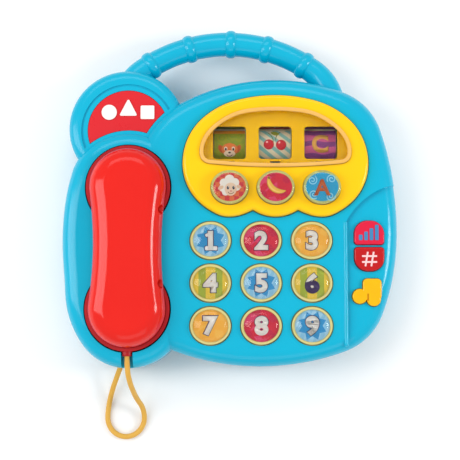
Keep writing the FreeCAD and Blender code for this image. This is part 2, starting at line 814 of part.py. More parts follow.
def make_cord():
    points = cord_points()
    runs = [b.sub(a).Length for a, b in zip(points, points[1:])]
    edges, cursor, radii = [], points[0], []
    for i in range(1, len(points) - 1):
        back = points[i - 1].sub(points[i]).normalize()
        ahead = points[i + 1].sub(points[i]).normalize()
        turn = math.pi - back.getAngle(ahead)
        reach = 0.45 * min(runs[i - 1], runs[i])
        radius = reach / math.tan(turn / 2)
        radii.append(round(radius, 1))
        enter, leave = points[i] + back * reach, points[i] + ahead * reach
        centre = points[i] + (back + ahead).normalize() * (radius / math.cos(turn / 2))
        middle = centre + (points[i] - centre).normalize() * radius
        edges.append(Part.LineSegment(cursor, enter).toShape())
        edges.append(Part.Arc(enter, middle, leave).toShape())
        cursor = leave
    edges.append(Part.LineSegment(cursor, points[-1]).toShape())
    path = Part.Wire(edges)
    start = circle_at(points[0], points[1].sub(points[0]), cord_diameter / 2)
    tube = path.makePipeShell([start], True, True)
    ideal = math.pi * (cord_diameter / 2) ** 2 * path.Length
    print("cord runs", [round(r, 1) for r in runs])
    print("cord radii", radii, "least allowed", cord_min_radius)
    print("cord length %.1f, volume %.0f of %.0f" % (path.Length, tube.Volume, ideal))
    return tube


def make_cord_anchor():
    """Ball knot inside the body that keeps the cord from pulling out."""
    last, before = cord_points()[-1], cord_points()[-2]
    ahead = last.sub(before).normalize()
    knot = Part.makeCylinder(knot_radius, knot_length, last, ahead)
    rims = [e for e in knot.Edges if isinstance(e.Curve, Part.Circle)]
    return knot.makeFillet(knot_round, rims)


# ---- display panel and lens ----
def lens_pocket(grow, z0, z1):
    return raised(grown(lens_outline(), grow), z0, z1)


def window_cut(x, grow, z0, z1):
    return soft_block(window_size + 2 * grow, window_size + 2 * grow, window_corner + grow, z0, z1, x, window_y)


def picture_oval(grow, z0, z1, x):
    width, length = picture_button
    return oval(width + 2 * grow, length + 2 * grow, z0, z1, x, picture_y)


def make_display_panel():
    low, high = field_z - panel_seat, field_z + panel_rise
    floor = low + window_plate
    under = raised(grown(panel_outline(), -panel_wall), low, high - panel_wall)
    under = under.cut(lens_pocket(panel_wall, low, high))
    panel = rounded(raised(panel_outline(panel_notch_round), low, high).cut(under), high, panel_round)
    panel = panel.cut(lens_pocket(-lens_rim, floor, high + 1))
    panel = panel.cut(lens_pocket(lens_gap, high - lens_thickness, high + 1))
    flange_room = picture_flange + flange_clearance
    slot_y = lens_low + slot_offset
    for x in picture_centres():
        panel = panel.cut(window_cut(x, 0, low - 1, floor + 1))
        panel = panel.cut(picture_oval(button_gap, low - 1, high + 1, x))
        panel = panel.cut(picture_oval(flange_room, low - 1, high - panel_wall, x))
        panel = panel.cut(block(x - slot_length / 2, x + slot_length / 2, slot_y, slot_y + slot_width, low - 1,
                                floor + 1))
    return panel


def make_display_lens():
    high = field_z + panel_rise
    plate = lens_pocket(0, high - lens_thickness, high + 0.2)
    inside = lens_pocket(-lens_bead, high - 1, high + 2 * lens_bead_rise)
    bead = lens_pocket(0, high, high + lens_bead_rise).cut(inside)
    return fuse_all([plate, bead])


# ---- rollers ----
def roller_axis_z():
    return field_z - panel_seat - roller_depth - roller_radius


def make_roller(x):
    z = roller_axis_z()
    drum = Part.makeCylinder(roller_radius, roller_length, V(x - roller_length / 2, window_y, z), V(1, 0, 0))
    rims = [e for e in drum.Edges if isinstance(e.Curve, Part.Circle)]
    drum = drum.makeFillet(0.5, rims)
    hub_side = x + roller_length / 2
    pins = []
    for quarter in range(4):
        angle = math.radians(45 + 90 * quarter)
        y, pin_z = window_y + pin_circle * math.cos(angle), z + pin_circle * math.sin(angle)
        pins.append(Part.makeCylinder(pin_radius, pin_length + 1.0, V(hub_side - 1.0, y, pin_z), V(1, 0, 0)))
    drum = fuse_all([drum] + pins)
    bore = Part.makeCylinder(axle_radius + running_gap, roller_length + 8, V(x - roller_length / 2 - 1, window_y, z),
                             V(1, 0, 0))
    return drum.cut(bore)


def post_xs():
    """Left faces of the upright plates that carry the roller axle."""
    right = pin_length + 2 * pin_gap + 0.4
    xs = [panel_x - picture_pitch - roller_length / 2 - pin_gap - post_thickness - 0.4]
    return xs + [x + roller_length / 2 + right for x in picture_centres()]


def make_axle_posts():
    z = roller_axis_z()
    posts = []
    for x in post_xs():
        plate = block(x, x + post_thickness, window_y - post_half_width, window_y + post_half_width, floor_top,
                      z + post_half_width)
        tops = [e for e in plate.Edges if e.BoundBox.YLength < 1e-5 and e.BoundBox.ZLength < 1e-5
                and abs(e.BoundBox.ZMax - (z + post_half_width)) < 1e-5]
        plate = plate.makeFillet(post_half_width - 0.6, tops)
        posts.append(plate.cut(Part.makeCylinder(axle_radius, 3 * post_thickness, V(x - post_thickness, window_y, z),
                                                 V(1, 0, 0))))
    return Part.makeCompound(posts)


def make_roller_axle():
    z = roller_axis_z()
    xs = post_xs()
    start = xs[0] - 1.0
    length = xs[-1] + post_thickness + 1.0 - start
    return Part.makeCylinder(axle_radius, length, V(start, window_y, z), V(1, 0, 0))


def make_picture_button(x):
    top = field_z + panel_rise + picture_rise
    flange_top = field_z + panel_rise - panel_wall - flange_clearance
    flange_low = flange_top - picture_flange_thick
    flange = picture_oval(picture_flange, flange_low, flange_top, x)
    body = picture_oval(0, flange_low, top, x)
    stem = post(stem_radius, stem_low, flange_low, x, picture_y)
    z = roller_axis_z()
    low = z + pin_circle * math.sin(math.radians(45)) + pin_radius + pawl_clearance
    pawl_x = x + roller_length / 2 + pin_gap
    end_y = window_y - pawl_tip
    step_y = window_y - roller_radius * 0.45
    arm = block(pawl_x, pawl_x + pawl_width, picture_y - web_half_width, step_y, low, low + pawl_height)
    tip = block(pawl_x, pawl_x + pawl_width, step_y, end_y, low, low + pawl_tip_height)
    web = block(x, pawl_x + pawl_width, picture_y - web_half_width, picture_y + web_half_width, stem_low,
                stem_low + web_height)
    return fuse_all([body, flange, stem, web, arm, tip])


def make_picture_cap(x):
    low = field_z + panel_rise + picture_rise
    cap = picture_oval(0, low, low + picture_cap, x)
    return rounded(cap, low + picture_cap, picture_cap * 0.7)


def make_button_spring(x):
    spring = post(spring_radius, spring_seat, stem_low, x, picture_y)
    return spring.cut(post(spring_bore, spring_seat - 1, stem_low + 1, x, picture_y))


# ---- number keys ----
def key_base_levels():
    top = field_z - wall - under_gap
    return top - key_flange_thick, top, field_z + key_rise


def make_key(x, y):
    flange_low, flange_top, top = key_base_levels()
    width, length = key_size
    body = rounded(oval(width, length, flange_top - flange_bite, top, x, y), top, key_edge)
    flange = oval(width + 2 * key_flange, length + 2 * key_flange, flange_low, flange_top, x, y)
    membrane_top = board_z + board_thickness + membrane_thickness
    plunger = post(key_post, membrane_top + key_travel + key_post_gap, flange_low, x, y)
    seat = oval(width - 2 * key_ring, length - 2 * key_ring, top - key_recess, top + 1, x, y)
    return fuse_all([body, flange, plunger]).cut(seat)


def make_key_dome(x, y):
    top = field_z + key_rise
    width, length = key_size
    low = top - key_recess
    dome = oval(width - 2 * key_ring, length - 2 * key_ring, low, low + key_dome_height, x, y)
    return rounded(dome, low + key_dome_height, key_dome_round)


# ---- side buttons ----
def pad_button_solid(form, flange):
    under = pad_z - wall - under_gap
    top = pad_z + pad_button_rise
    cap = form(0.0, under - flange_bite, top)
    cap = cap.makeFillet(pad_button_edge, edges_at(cap, top))
    return fuse_all([cap, flange(pad_flange, under - pad_flange_thick, under)])


def make_half_button(upper):
    def form(grow, z0, z1):
        return half_pad_button(upper, grow, z0, z1)
    return pad_button_solid(form, form)


def make_note_button():
    solid = pad_button_solid(note_form, note_flange)
    dx, dy, width, length = note_slot
    x, y = pad_x + note_mid[0] + dx, pad_button_mid + note_mid[1] + dy
    top = pad_z + pad_button_rise
    return solid.cut(block(x - width / 2, x + width / 2, y - length / 2, y + length / 2, top - note_slot_depth, top + 1))


# ---- badge ----
def badge_top():
    return ear_z - badge_depth + badge_thickness


def make_badge():
    disc = badge_disc(badge_radius, ear_z - badge_depth, badge_top())
    lobes = [grown(outline, badge_gap) for outline in (cradle_outline(), main_outline())]
    return disc.cut(fuse_all([raised(lobe, 0, field_z) for lobe in lobes]))


def make_emblem():
    """Three plain shapes in a row: disc, triangle and square."""
    x, y = badge_centre()
    low = badge_top()
    high = low + emblem_height
    y += emblem_rise
    disc = post(emblem_size / 2, low, high, x - emblem_pitch, y - emblem_drop)
    foot = y + triangle_lift - triangle_height / 2
    corners = [V(x - triangle_width / 2, foot, 0), V(x + triangle_width / 2, foot, 0),
               V(x, foot + triangle_height, 0)]
    triangle = raised(Part.makePolygon(corners + corners[:1]), low, high)
    triangle = triangle.makeFillet(emblem_round, upright_edges(triangle))
    square = soft_block(square_side, square_side, emblem_round, low, high, x + emblem_pitch, y - emblem_drop)
    return Part.makeCompound([disc, triangle, square])


# ---- inside pieces ----
def board_sheet(inset, z0, z1):
    left, middle, right = (keypad_x + reach for reach in board_reach)
    low, step, top = board_ends
    main = block(left + inset, middle - inset, low + inset, top - inset, z0, z1)
    side = block(middle - inset, right - inset, step + inset, top - inset, z0, z1)
    return fuse_all([main, side])


def clear_of_bosses(sheet):
    for x, y in CASE_SCREWS:
        sheet = sheet.cut(post(boss_radius + board_boss_gap, 0, field_z, x, y))
    return sheet


def make_board():
    return clear_of_bosses(board_sheet(0, board_z, board_z + board_thickness))


def make_membrane():
    low = board_z + board_thickness
    return clear_of_bosses(board_sheet(membrane_inset, low, low + membrane_thickness))


def make_speaker():
    low = floor_top
    frame = post(speaker_radius, low, low + 3.0, cradle_x, cradle_y)
    magnet = post(speaker_radius * 0.55, low + 3.0, low + speaker_height, cradle_x, cradle_y)
    cone = post(speaker_radius - 3.0, low - 1, low + 1.6, cradle_x, cradle_y)
    return fuse_all([frame, magnet]).cut(cone)


def battery_z():
    return floor_top + 0.4 + battery_radius


def make_batteries():
    cells = []
    for side in (1, -1):
        y = battery_y + side * battery_spacing / 2
        x = keypad_x - battery_length / 2
        can = Part.makeCylinder(battery_radius, battery_length - 1.2, V(x, y, battery_z()), V(1, 0, 0))
        tip = Part.makeCylinder(2.7, 1.3, V(x + battery_length - 1.3, y, battery_z()), V(1, 0, 0))
        cells.append(fuse_all([can, tip]))
    return Part.makeCompound(cells)


def make_contacts():
    plates = []
    half = battery_length / 2
    for side in (1, -1):
        y = battery_y + side * battery_spacing / 2
        for x in (keypad_x - half - contact_thickness, keypad_x + half):
            plates.append(block(x, x + contact_thickness, y - contact_width / 2, y + contact_width / 2, floor_top + 1.5,
                                floor_top + bay_height - bay_wall - 0.2))
    return Part.makeCompound(plates)


def make_battery_door():
    thick = wall / 2
    plate = door_form(0, foot_height, foot_height + thick)
    plug = battery_block(-door_gap, foot_height + thick, floor_top)
    x = keypad_x + door_form(0, 0, 1).BoundBox.XLength / 2 - door_screw_offset
    first = keypad_x - battery_length / 2
    grooves = [block(first + i * grip_pitch, first + i * grip_pitch + grip_width, battery_y - grip_half_length,
                     battery_y + grip_half_length, foot_height - grip_depth, foot_height + grip_depth)
               for i in range(grip_grooves)]
    door = fuse_all([plate, plug]).cut(Part.makeCompound(grooves))
    return door.cut(post(screw_radius, 0, floor_top, x, battery_y))


def make_door_screw():
    x = keypad_x + door_form(0, 0, 1).BoundBox.XLength / 2 - door_screw_offset
    shank = post(screw_radius, foot_height, floor_top + 2.4, x, battery_y)
    head = post(screw_head_radius, foot_height - screw_head * 0.6, foot_height, x, battery_y)
    return fuse_all([shank, head])


def make_switch():
    sx, sy = switch_pos
    x, base = sx - switch_shift, floor_top + under_gap
    width, length, thickness = switch_plate
    knob = soft_block(switch_knob[0], switch_knob[1], switch_corner, foot_height - switch_drop, base, x, sy)
    plate = block(x - width / 2, x + width / 2, sy - length / 2, sy + length / 2, base, base + thickness)
    return fuse_all([knob, plate])


def make_case_screws():
    screws = []
    for x, y in CASE_SCREWS:
        seat = foot_height + 8.0
        shank = post(screw_radius, seat, parting_z + 8.0, x, y)
        screws.append(fuse_all([shank, post(screw_head_radius, seat - screw_head, seat, x, y)]))
    return Part.makeCompound(screws)


def all_parts():
    parts = {
        "upper_housing": make_upper_housing(),
        "lower_housing": make_lower_housing(),
        "handle_front_half": handle_half(True),
        "handle_rear_half": handle_half(False),
        "handset_left_half": handset_half(True),
        "handset_right_half": handset_half(False),
        "handset_ear_cup": make_cup(0),
        "handset_mouth_cup": make_cup(1),
        "handset_screws": make_handset_screws(),
        "cord_collar": make_cord_collar(),
        "tether_cord": make_cord(),
        "cord_anchor": make_cord_anchor(),
        "display_panel": make_display_panel(),
        "display_lens": make_display_lens(),
        "roller_axle": make_roller_axle(),
        "axle_posts": make_axle_posts(),
        "signal_button": make_half_button(True),
        "hash_button": make_half_button(False),
        "note_button": make_note_button(),
        "badge_insert": make_badge(),
        "badge_emblem": make_emblem(),
        "circuit_board": make_board(),
        "keypad_membrane": make_membrane(),
        "speaker": make_speaker(),
        "batteries": make_batteries(),
        "battery_contacts": make_contacts(),
        "battery_door": make_battery_door(),
        "door_screw": make_door_screw(),
        "power_switch": make_switch(),
        "case_screws": make_case_screws(),
    }
    for name, x in zip(("left", "middle", "right"), picture_centres()):
        parts["picture_roller_" + name] = make_roller(x)
        parts["picture_button_" + name] = make_picture_button(x)
        parts["picture_cap_" + name] = make_picture_cap(x)
        parts["button_spring_" + name] = make_button_spring(x)
    for number, (x, y) in enumerate(key_centres(), start=1):
        parts["number_key_%d" % number] = make_key(x, y)
        parts["key_dome_%d" % number] = make_key_dome(x, y)
    return parts


os.makedirs("parts", exist_ok=True)
for node, shape in all_parts().items():
    shape.translate(DATUM)
    shape.exportStep("parts/%s.step" % node)
    print(node, "solids", len(shape.Solids), "valid", shape.isValid(), "volume %.0f" % shape.Volume)
print("datum shift", round(DATUM.y, 4))
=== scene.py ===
import math

import bpy
import bmesh
from mathutils import Matrix, Vector


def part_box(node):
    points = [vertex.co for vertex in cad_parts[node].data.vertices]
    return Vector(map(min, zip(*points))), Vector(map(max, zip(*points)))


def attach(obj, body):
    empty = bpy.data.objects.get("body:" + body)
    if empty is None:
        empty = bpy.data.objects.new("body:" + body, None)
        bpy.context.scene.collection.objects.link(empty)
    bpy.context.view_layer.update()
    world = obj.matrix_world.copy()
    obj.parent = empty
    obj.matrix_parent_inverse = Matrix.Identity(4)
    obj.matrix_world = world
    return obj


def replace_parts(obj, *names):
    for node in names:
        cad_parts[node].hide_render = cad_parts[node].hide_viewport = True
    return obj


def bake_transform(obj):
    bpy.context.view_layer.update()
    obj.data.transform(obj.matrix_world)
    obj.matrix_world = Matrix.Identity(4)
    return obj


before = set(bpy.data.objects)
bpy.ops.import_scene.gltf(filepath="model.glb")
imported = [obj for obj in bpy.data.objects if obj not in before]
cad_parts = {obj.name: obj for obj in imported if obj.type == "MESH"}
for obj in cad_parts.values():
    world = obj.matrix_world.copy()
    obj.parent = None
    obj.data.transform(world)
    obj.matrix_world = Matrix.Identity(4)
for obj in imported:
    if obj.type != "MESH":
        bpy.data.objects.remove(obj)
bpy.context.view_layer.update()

# Toy telephone lying on its back. Lengths in this script are in millimetres until a piece is finished.
MM = 0.001


def span(node):
    """A node's lowest corner, highest corner and middle, in millimetres."""
    low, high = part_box(node)
    return low / MM, high / MM, (low + high) / (2 * MM)


# ---- camera, floor and light ----
VIEW_TARGET = Vector((0.0, -22.4, 28.0)) * MM
VIEW_ELEVATION = math.radians(84.0)
VIEW_DISTANCE = 826.5 * MM
VIEW_ANGLE = math.radians(20.84)
NEAREST, FARTHEST = 0.01, 20.0
WORLD_STRENGTH = 0.62


def aimed(thing, place, target):
    """A camera or light as an object at place that looks at target, both in metres."""
    made = bpy.data.objects.new(thing.name, thing)
    bpy.context.scene.collection.objects.link(made)
    made.location = place
    made.rotation_euler = (Vector(target) - Vector(place)).to_track_quat("-Z", "Y").to_euler()
    return made


def soft_light(name, place, width, length, power, shape="RECTANGLE"):
    """A white area light of that size in metres and power in watts, aimed at the toy."""
    light = bpy.data.lights.new(name, "AREA")
    light.shape, light.size, light.size_y, light.energy = shape, width, length, power
    return aimed(light, place, VIEW_TARGET)


camera = bpy.data.cameras.new("camera")
camera.angle = VIEW_ANGLE
camera.clip_start, camera.clip_end = NEAREST, FARTHEST
back = Vector((0.0, -math.cos(VIEW_ELEVATION), math.sin(VIEW_ELEVATION)))
bpy.context.scene.camera = aimed(camera, VIEW_TARGET + back * VIEW_DISTANCE, VIEW_TARGET)
bpy.context.scene.view_settings.view_transform = "Standard"

soft_light("left_softbox", (-0.85, 0.05, 0.75), 0.42, 1.10, 6.5)
soft_light("top_softbox", (-0.15, 0.95, 1.05), 1.20, 0.50, 4.0)
soft_light("right_softbox", (0.95, -0.02, 0.62), 0.34, 0.34, 4.5, "ELLIPSE")
soft_light("front_fill", (0.15, -1.15, 0.80), 1.30, 0.60, 2.2)

world = bpy.data.worlds.new("studio")
bpy.context.scene.world = world
world.use_nodes = True
background = world.node_tree.nodes["Background"]
background.inputs["Color"].default_value = (1.0, 1.0, 1.0, 1.0)
background.inputs["Strength"].default_value = WORLD_STRENGTH


# ---- materials ----
SPECULAR_LEVEL = 0.3
# depths of the bumps, in millimetres
SKIN_DEPTH, FLOW_DEPTH, FIBRE_DEPTH = 0.04, 0.1, 0.03
PRINT_ROUGHNESS = 0.4


def linear(colour):
    """Linear RGBA of an sRGB hex colour."""
    parts = [int(colour[i:i + 2], 16) / 255 for i in (1, 3, 5)]
    return [c / 12.92 if c <= 0.04045 else ((c + 0.055) / 1.055) ** 2.4 for c in parts] + [1.0]


def per(millimetres):
    """Pattern scale that gives one cell, wave or check of that size."""
    return 1.0 / (millimetres * MM)


def node(tree, kind, inputs=(), **settings):
    """A node with its settings; an input is a plain value or the socket that feeds it."""
    made = tree.nodes.new(kind)
    for name, value in settings.items():
        setattr(made, name, value)
    for name, value in dict(inputs).items():
        if isinstance(value, bpy.types.NodeSocket):
            tree.links.new(value, made.inputs[name])
        else:
            made.inputs[name].default_value = value
    return made


def started(name, metallic=0.0, ior=1.5, transmission=0.0):
    """A new material, its tree and its shader, with the uniform values set on the shader's own sockets."""
    material = bpy.data.materials.new(name)
    material.use_nodes = True
    tree = material.node_tree
    shader = tree.nodes["Principled BSDF"]
    for socket, value in (("Metallic", metallic), ("IOR", ior), ("Transmission Weight", transmission),
                          ("Specular IOR Level", SPECULAR_LEVEL)):
        shader.inputs[socket].default_value = value
    return material, tree, shader


def surfaced(name, colour, drift, flow=38.0, grain=0.35, rough=(0.13, 0.2), source="Object", **shader_values):
    """One moulded or printed surface: colour drifts where the melt flowed, gloss varies with handling, and the
    tool's texture lies over it as a fine bump. Flow and grain are pattern sizes in millimetres."""
    material, tree, shader = started(name, **shader_values)
    place = node(tree, "ShaderNodeTexCoord").outputs[source]
    melt = node(tree, "ShaderNodeTexNoise",
                {"Vector": place, "Scale": per(flow), "Detail": 3.0, "Distortion": 0.6})
    tint = node(tree, "ShaderNodeMix",
                {0: melt.outputs["Fac"], 6: linear(colour), 7: linear(drift)}, data_type="RGBA")
    wear = node(tree, "ShaderNodeTexNoise",
                {"Vector": place, "Scale": per(flow / 4), "Detail": 5.0, "Roughness": 0.65})
    gloss = node(tree, "ShaderNodeMapRange",
                 {"Value": wear.outputs["Fac"], "From Min": 0.3, "From Max": 0.7, "To Min": rough[0],
                  "To Max": rough[1]})
    skin = node(tree, "ShaderNodeTexNoise", {"Vector": place, "Scale": per(grain), "Detail": 2.0})
    bump = node(tree, "ShaderNodeBump",
                {"Height": skin.outputs["Fac"], "Strength": 0.12, "Distance": SKIN_DEPTH * MM})
    tree.links.new(tint.outputs[2], shader.inputs["Base Color"])
    tree.links.new(gloss.outputs["Result"], shader.inputs["Roughness"])
    tree.links.new(bump.outputs["Normal"], shader.inputs["Normal"])
    return material


def clear(name, colour, ior, rough):
    """Clear moulding: barely tinted, with faint flow lines that only its reflections show."""
    material, tree, shader = started(name, ior=ior, transmission=1.0)
    place = node(tree, "ShaderNodeTexCoord").outputs["Object"]
    flow = node(tree, "ShaderNodeTexNoise", {"Vector": place, "Scale": per(26.0), "Detail": 2.0})
    tint = node(tree, "ShaderNodeMix",
                {0: flow.outputs["Fac"], 6: linear(colour), 7: linear("#ffffff")}, data_type="RGBA")
    bump = node(tree, "ShaderNodeBump",
                {"Height": flow.outputs["Fac"], "Strength": 0.08, "Distance": FLOW_DEPTH * MM})
    tree.links.new(tint.outputs[2], shader.inputs["Base Color"])
    tree.links.new(bump.outputs["Normal"], shader.inputs["Normal"])
    shader.inputs["Roughness"].default_value = rough
    return material


def inked(name, colours, pattern):
    """Printed paper with a pattern in flat inks: each colour starts at its own value of the pattern's mask."""
    material, tree, shader = started(name)
    place = node(tree, "ShaderNodeTexCoord").outputs["UV"]
    ink = node(tree, "ShaderNodeValToRGB", {"Fac": pattern(tree, place)})
    ramp = ink.color_ramp
    ramp.interpolation = "CONSTANT"
    while len(ramp.elements) < len(colours):
        ramp.elements.new(0.5)
    for element, (start, colour) in zip(ramp.elements, colours):
        element.position, element.color = start, linear(colour)
    fibre = node(tree, "ShaderNodeTexNoise", {"Vector": place, "Scale": per(0.5), "Detail": 2.0})
    bump = node(tree, "ShaderNodeBump",
                {"Height": fibre.outputs["Fac"], "Strength": 0.1, "Distance": FIBRE_DEPTH * MM})
    tree.links.new(ink.outputs["Color"], shader.inputs["Base Color"])
    tree.links.new(bump.outputs["Normal"], shader.inputs["Normal"])
    shader.inputs["Roughness"].default_value = PRINT_ROUGHNESS
    return material


def bands(millimetres, turn=0.0, bend=0.0):
    """Straight or wavy bands of that pitch, running along the map's vertical when turn is 0."""
    def pattern(tree, place):
        turned = node(tree, "ShaderNodeMapping", {"Vector": place, "Rotation": (0, 0, math.radians(turn))})
        # one wave of this texture is 2 pi / 20 of its unit
        waves = node(tree, "ShaderNodeTexWave",
                     {"Vector": turned.outputs["Vector"], "Scale": per(millimetres) * 2 * math.pi / 20,
                      "Distortion": bend, "Detail": 0.0, "Detail Scale": per(4.0) / 100})
        return waves.outputs["Fac"]
    return pattern


def patches(millimetres):
    """Patches of random value with straight sides."""
    def pattern(tree, place):
        cells = node(tree, "ShaderNodeTexVoronoi", {"Vector": place, "Scale": per(millimetres)})
        return node(tree, "ShaderNodeSeparateColor", {"Color": cells.outputs["Color"]}).outputs[0]
    return pattern


def curls(millimetres):
    """Rings round scattered centres."""
    def pattern(tree, place):
        cells = node(tree, "ShaderNodeTexVoronoi", {"Vector": place, "Scale": per(millimetres)})
        rings = node(tree, "ShaderNodeMath", {0: cells.outputs["Distance"], 1: 24.0}, operation="MULTIPLY")
        waves = node(tree, "ShaderNodeMath", {0: rings.outputs[0]}, operation="SINE")
        mask = node(tree, "ShaderNodeMath", {0: waves.outputs[0], 1: 0.5, 2: 0.5}, operation="MULTIPLY_ADD")
        return mask.outputs[0]
    return pattern


def checks(millimetres):
    """Squares of that size."""
    def pattern(tree, place):
        return node(tree, "ShaderNodeTexChecker", {"Vector": place, "Scale": per(millimetres)}).outputs["Fac"]
    return pattern


# Gloss ABS and its like: saturated and even, with a soft-edged shine from the polished tool.
FINISH = {
    "blue_shell": surfaced("gloss_abs_blue", "#00b1d0", "#02a6c9"),
    "red_shell": surfaced("gloss_abs_red", "#e32015", "#d91a12", rough=(0.09, 0.14)),
    # the cups' red is darker than the shell's red: painted shade from the wells they sit in
    "dark_red": surfaced("satin_abs_red_painted_well_shade", "#b3141c", "#a41018", rough=(0.35, 0.45)),
    "yellow_panel": surfaced("gloss_abs_yellow", "#fdcb06", "#f6c004"),
    "cream_key": surfaced("gloss_abs_cream", "#d6cb8c", "#cbbf74", flow=14.0),
    "badge_red": surfaced("gloss_styrene_badge", "#d9242c", "#cf1e28", rough=(0.25, 0.35)),
    "white_print": surfaced("raised_white_enamel", "#f4f2ee", "#e9e6e0", flow=9.0, rough=(0.2, 0.3)),
    "signal_red": surfaced("gloss_abs_crimson", "#df1d3f", "#d2163a", flow=12.0),
    "hash_red": surfaced("gloss_abs_signal_red", "#c2161a", "#b41116", flow=12.0),
    "note_yellow": surfaced("satin_abs_yellow", "#f4b903", "#e9ab02", flow=12.0),
    "roller_white": surfaced("printed_paper_sleeve", "#f0e4c8", "#e8d9b6", rough=(0.5, 0.6)),
    # moulded vinyl: waxy, with a faint pull mark along its length
    "cord_ochre": surfaced("soft_vinyl_ochre", "#dfae4e", "#d49f3c", flow=7.0, grain=0.6, rough=(0.4, 0.55)),
    "grey_rubber": surfaced("silicone_grey", "#7d8084", "#6f7276", rough=(0.55, 0.7)),
    "frame_plastic": surfaced("natural_polypropylene", "#c9ccd0", "#b9bdc2", rough=(0.45, 0.6)),
    "board_green": surfaced("fibreglass_laminate", "#2f6b3c", "#255a32", flow=3.0, rough=(0.3, 0.45)),
    "speaker_black": surfaced("pressed_paper_black", "#26272a", "#1c1d20", grain=1.2, rough=(0.6, 0.8)),
    "cell_wrap": surfaced("shrink_sleeve_grey", "#3b3f46", "#30343a", flow=18.0),
    "switch_black": surfaced("nylon_black", "#1f2023", "#17181a", rough=(0.4, 0.5)),
    # nickel-plated steel: grey with a broad, slightly streaked shine
    "steel": surfaced("nickel_plated_steel", "#c6c8cb", "#aeb1b5", flow=2.0, rough=(0.25, 0.4), metallic=1.0),
    # clear styrene: a hard bright shine, nearly no tint
    "clear_lens": clear("clear_styrene_lens", "#fffaf0", 1.2, 0.02),
    "clear_dome": clear("clear_styrene_dome", "#ffffff", 1.35, 0.02),
}

INK = {
    "green_curls": inked("ink_green_curls", [(0.0, "#9fa828"), (0.72, "#86a02a")], curls(7.0)),
    "teal_stripes": inked("ink_teal_stripes", [(0.0, "#efe7cd"), (0.55, "#8cc6c4")], bands(5.2, turn=-50.0)),
    "purple_waves": inked("ink_purple_waves", [(0.0, "#8e4a9a"), (0.45, "#d767a6")],
                          bands(8.0, turn=90.0, bend=1.6)),
    "red_checks": inked("ink_red_checks", [(0.0, "#d43a41"), (0.5, "#e1703f")], checks(3.0)),
    "pink_patches": inked("ink_pink_patches", [(0.0, "#d8243f"), (0.5, "#e0406e"), (0.8, "#c81f45")],
                          patches(4.2)),
    "green_stripes": inked("ink_green_stripes", [(0.0, "#ecc93f"), (0.62, "#a6b43a")], bands(10.5)),
    "orange_patches": inked("ink_orange_patches", [(0.0, "#f8b540"), (0.6, "#fabf4f")], patches(5.0)),
    "sky_rows": inked("ink_sky_rows", [(0.0, "#8fcbea"), (0.5, "#a9d8f0")], bands(4.0, turn=20.0, bend=2.0)),
}


def plain_ink(colour):
    """Flat printing ink, with the paper's own faint mottle."""
    name = "ink_" + colour[1:]
    if name not in INK:
        INK[name] = surfaced(name, colour, colour, flow=4.0, grain=0.5, rough=(0.35, 0.45), source="UV")
    return INK[name]


# each CAD node takes the finish of its own material slot
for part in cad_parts.values():
    slot_name = part.material_slots[0].material.name.split(".")[0]
    for place in part.material_slots:
        place.material = FINISH[slot_name]


# ---- tether cord ----
COLLAR_MIDDLE = span("cord_collar")[2]
CUP_LOW = span("handset_mouth_cup")[0]
CORD_DIAMETER = 3.5
# the cord's route from the mouth cup's foremost point, with heights above the table
CORD_ROUTE = [
    (0.0, -3.0, 39.0), (0.0, -11.5, 39.0), (1.3, -19.9, 32.2), (2.9, -25.7, 23.2), (4.6, -30.9, 13.8),
    (8.4, -37.2, 4.7), (9.4, -46.5, 1.75), (4.9, -54.1, 1.75), (-3.2, -57.1, 1.75), (-11.3, -54.3, 1.75),
    (-15.9, -46.9, 1.75), (-15.3, -37.3, 1.9), (-13.2, -27.5, 4.2), (-9.8, -18.1, 8.6), (-5.2, -6.5, 13.0),
]
route = [Vector((COLLAR_MIDDLE.x + x, CUP_LOW.y + y, z)) * MM for x, y, z in CORD_ROUTE]
line = bpy.data.curves.new("tether_cord_line", "CURVE")
line.dimensions = "3D"
spline = line.splines.new("NURBS")
spline.points.add(len(route) - 1)
for point, place in zip(spline.points, route):
    point.co = (*place, 1.0)
spline.order_u = 3
spline.use_endpoint_u = True
spline.resolution_u = 12


def cord_mesh(name):
    """The cord line as it now stands, turned into a mesh."""
    holder = bpy.data.objects.new(name + "_holder", line)
    bpy.context.scene.collection.objects.link(holder)
    bpy.context.view_layer.update()
    evaluated = holder.evaluated_get(bpy.context.evaluated_depsgraph_get())
    mesh = bpy.data.meshes.new_from_object(evaluated)
    mesh.name = name
    bpy.data.objects.remove(holder)
    return mesh


path_mesh = cord_mesh("tether_cord_path")
cord_path = [tuple(vertex.co) for vertex in path_mesh.vertices]
bpy.data.meshes.remove(path_mesh)
line.bevel_depth = CORD_DIAMETER / 2 * MM
line.bevel_resolution = 6
line.use_fill_caps = True
cord = bpy.data.objects.new("tether_cord_vinyl", cord_mesh("tether_cord_vinyl"))
bpy.data.curves.remove(line)
bpy.context.scene.collection.objects.link(cord)
cord.data.materials.clear()
cord.data.materials.append(FINISH["cord_ochre"])
cord.data.shade_smooth()
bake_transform(cord)
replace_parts(cord, "tether_cord")


# ---- printed pictures ----
# thickness of one printed layer, and spacing of the cuts that let a sheet bend round a drum
LAYER = 0.09
SLICE = 1.2


def placed(x, y, turn):
    """Turned by that many degrees, then moved to x, y."""
    return Matrix.Translation((x, y, 0)) @ Matrix.Rotation(math.radians(turn), 4, "Z")


